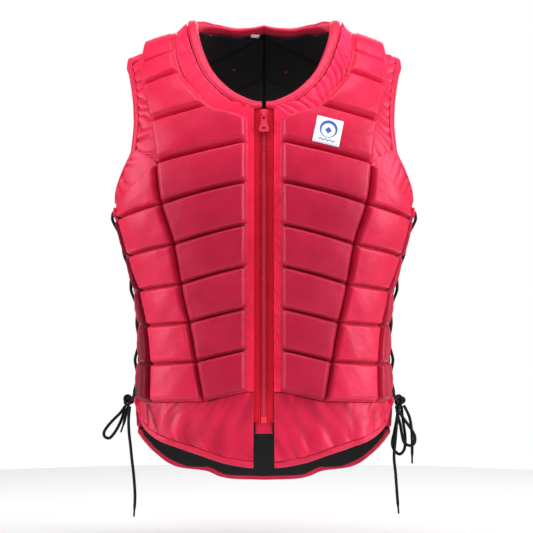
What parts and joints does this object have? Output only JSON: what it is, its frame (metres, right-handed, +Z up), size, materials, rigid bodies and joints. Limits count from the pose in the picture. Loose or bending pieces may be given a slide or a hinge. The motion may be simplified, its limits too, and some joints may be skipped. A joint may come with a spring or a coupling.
{
  "type": "equestrian body protector",
  "caption": "Sleeveless padded riding vest of foam blocks under satin, with a front zip, laced sides, bound edges and a black mesh lining in the back.",
  "frame": {"origin": "midway between the shoulders, level with the inside of the straps where the wearer's shoulders carry them", "axes": "+X to the wearer's left, -Y out of the chest, +Z up"},
  "size_m": [0.4144, 0.2396, 0.6606],
  "materials": {
    "satin_shell": "satin",
    "mesh_lining": "matte",
    "zip_tape": "woven",
    "zip_moulding": "moulded",
    "woven_patch": "woven",
    "woven_label": "woven",
    "elastic_lace": "braided"
  },
  "bodies": {
    "vest": {"chest_panel_left": "satin_shell", "chest_panel_right": "satin_shell", "side_panel_left": "satin_shell", "side_panel_right": "satin_shell", "back_side_panel_left": "satin_shell", "back_side_panel_right": "satin_shell", "back_centre_panel": "satin_shell", "skirt_left": "satin_shell", "skirt_right": "satin_shell", "back_skirt": "satin_shell", "neck_binding_left": "satin_shell", "neck_binding_right": "satin_shell", "back_neck_binding": "satin_shell", "armhole_binding_left": "satin_shell", "armhole_binding_right": "satin_shell", "back_armhole_binding_left": "satin_shell", "back_armhole_binding_right": "satin_shell", "hem_binding_left": "satin_shell", "hem_binding_right": "satin_shell", "back_hem_binding": "satin_shell", "side_edge_binding_left": "satin_shell", "side_edge_binding_right": "satin_shell", "back_side_edge_binding_left": "satin_shell", "back_side_edge_binding_right": "satin_shell", "zip_guard": "satin_shell", "back_lining": "mesh_lining", "zip_tape_left": "zip_tape", "zip_tape_right": "zip_tape", "zip_chain": "zip_moulding", "zip_stop": "zip_moulding", "zip_slider": "zip_moulding", "chest_patch": "woven_patch", "neck_label": "woven_label", "side_lacing_left": "elastic_lace", "side_lacing_right": "elastic_lace", "bow_knot_left": "elastic_lace", "bow_knot_right": "elastic_lace", "bow_loop_front_left": "elastic_lace", "bow_loop_back_left": "elastic_lace", "bow_tail_short_left": "elastic_lace", "bow_tail_long_left": "elastic_lace", "bow_loop_front_right": "elastic_lace", "bow_tail_short_right": "elastic_lace", "bow_tail_long_right": "elastic_lace"},
    "zip_pull": {"zip_pull": "zip_moulding"}
  },
  "joints": [
    {"name": "zip_pull_hinge", "type": "hinge", "parent": "vest", "child": "zip_pull", "pos_m": [0, -0.09632, -0.09432], "axis": [-1, 0, 0], "range_deg": [0, 150]}
  ]
}
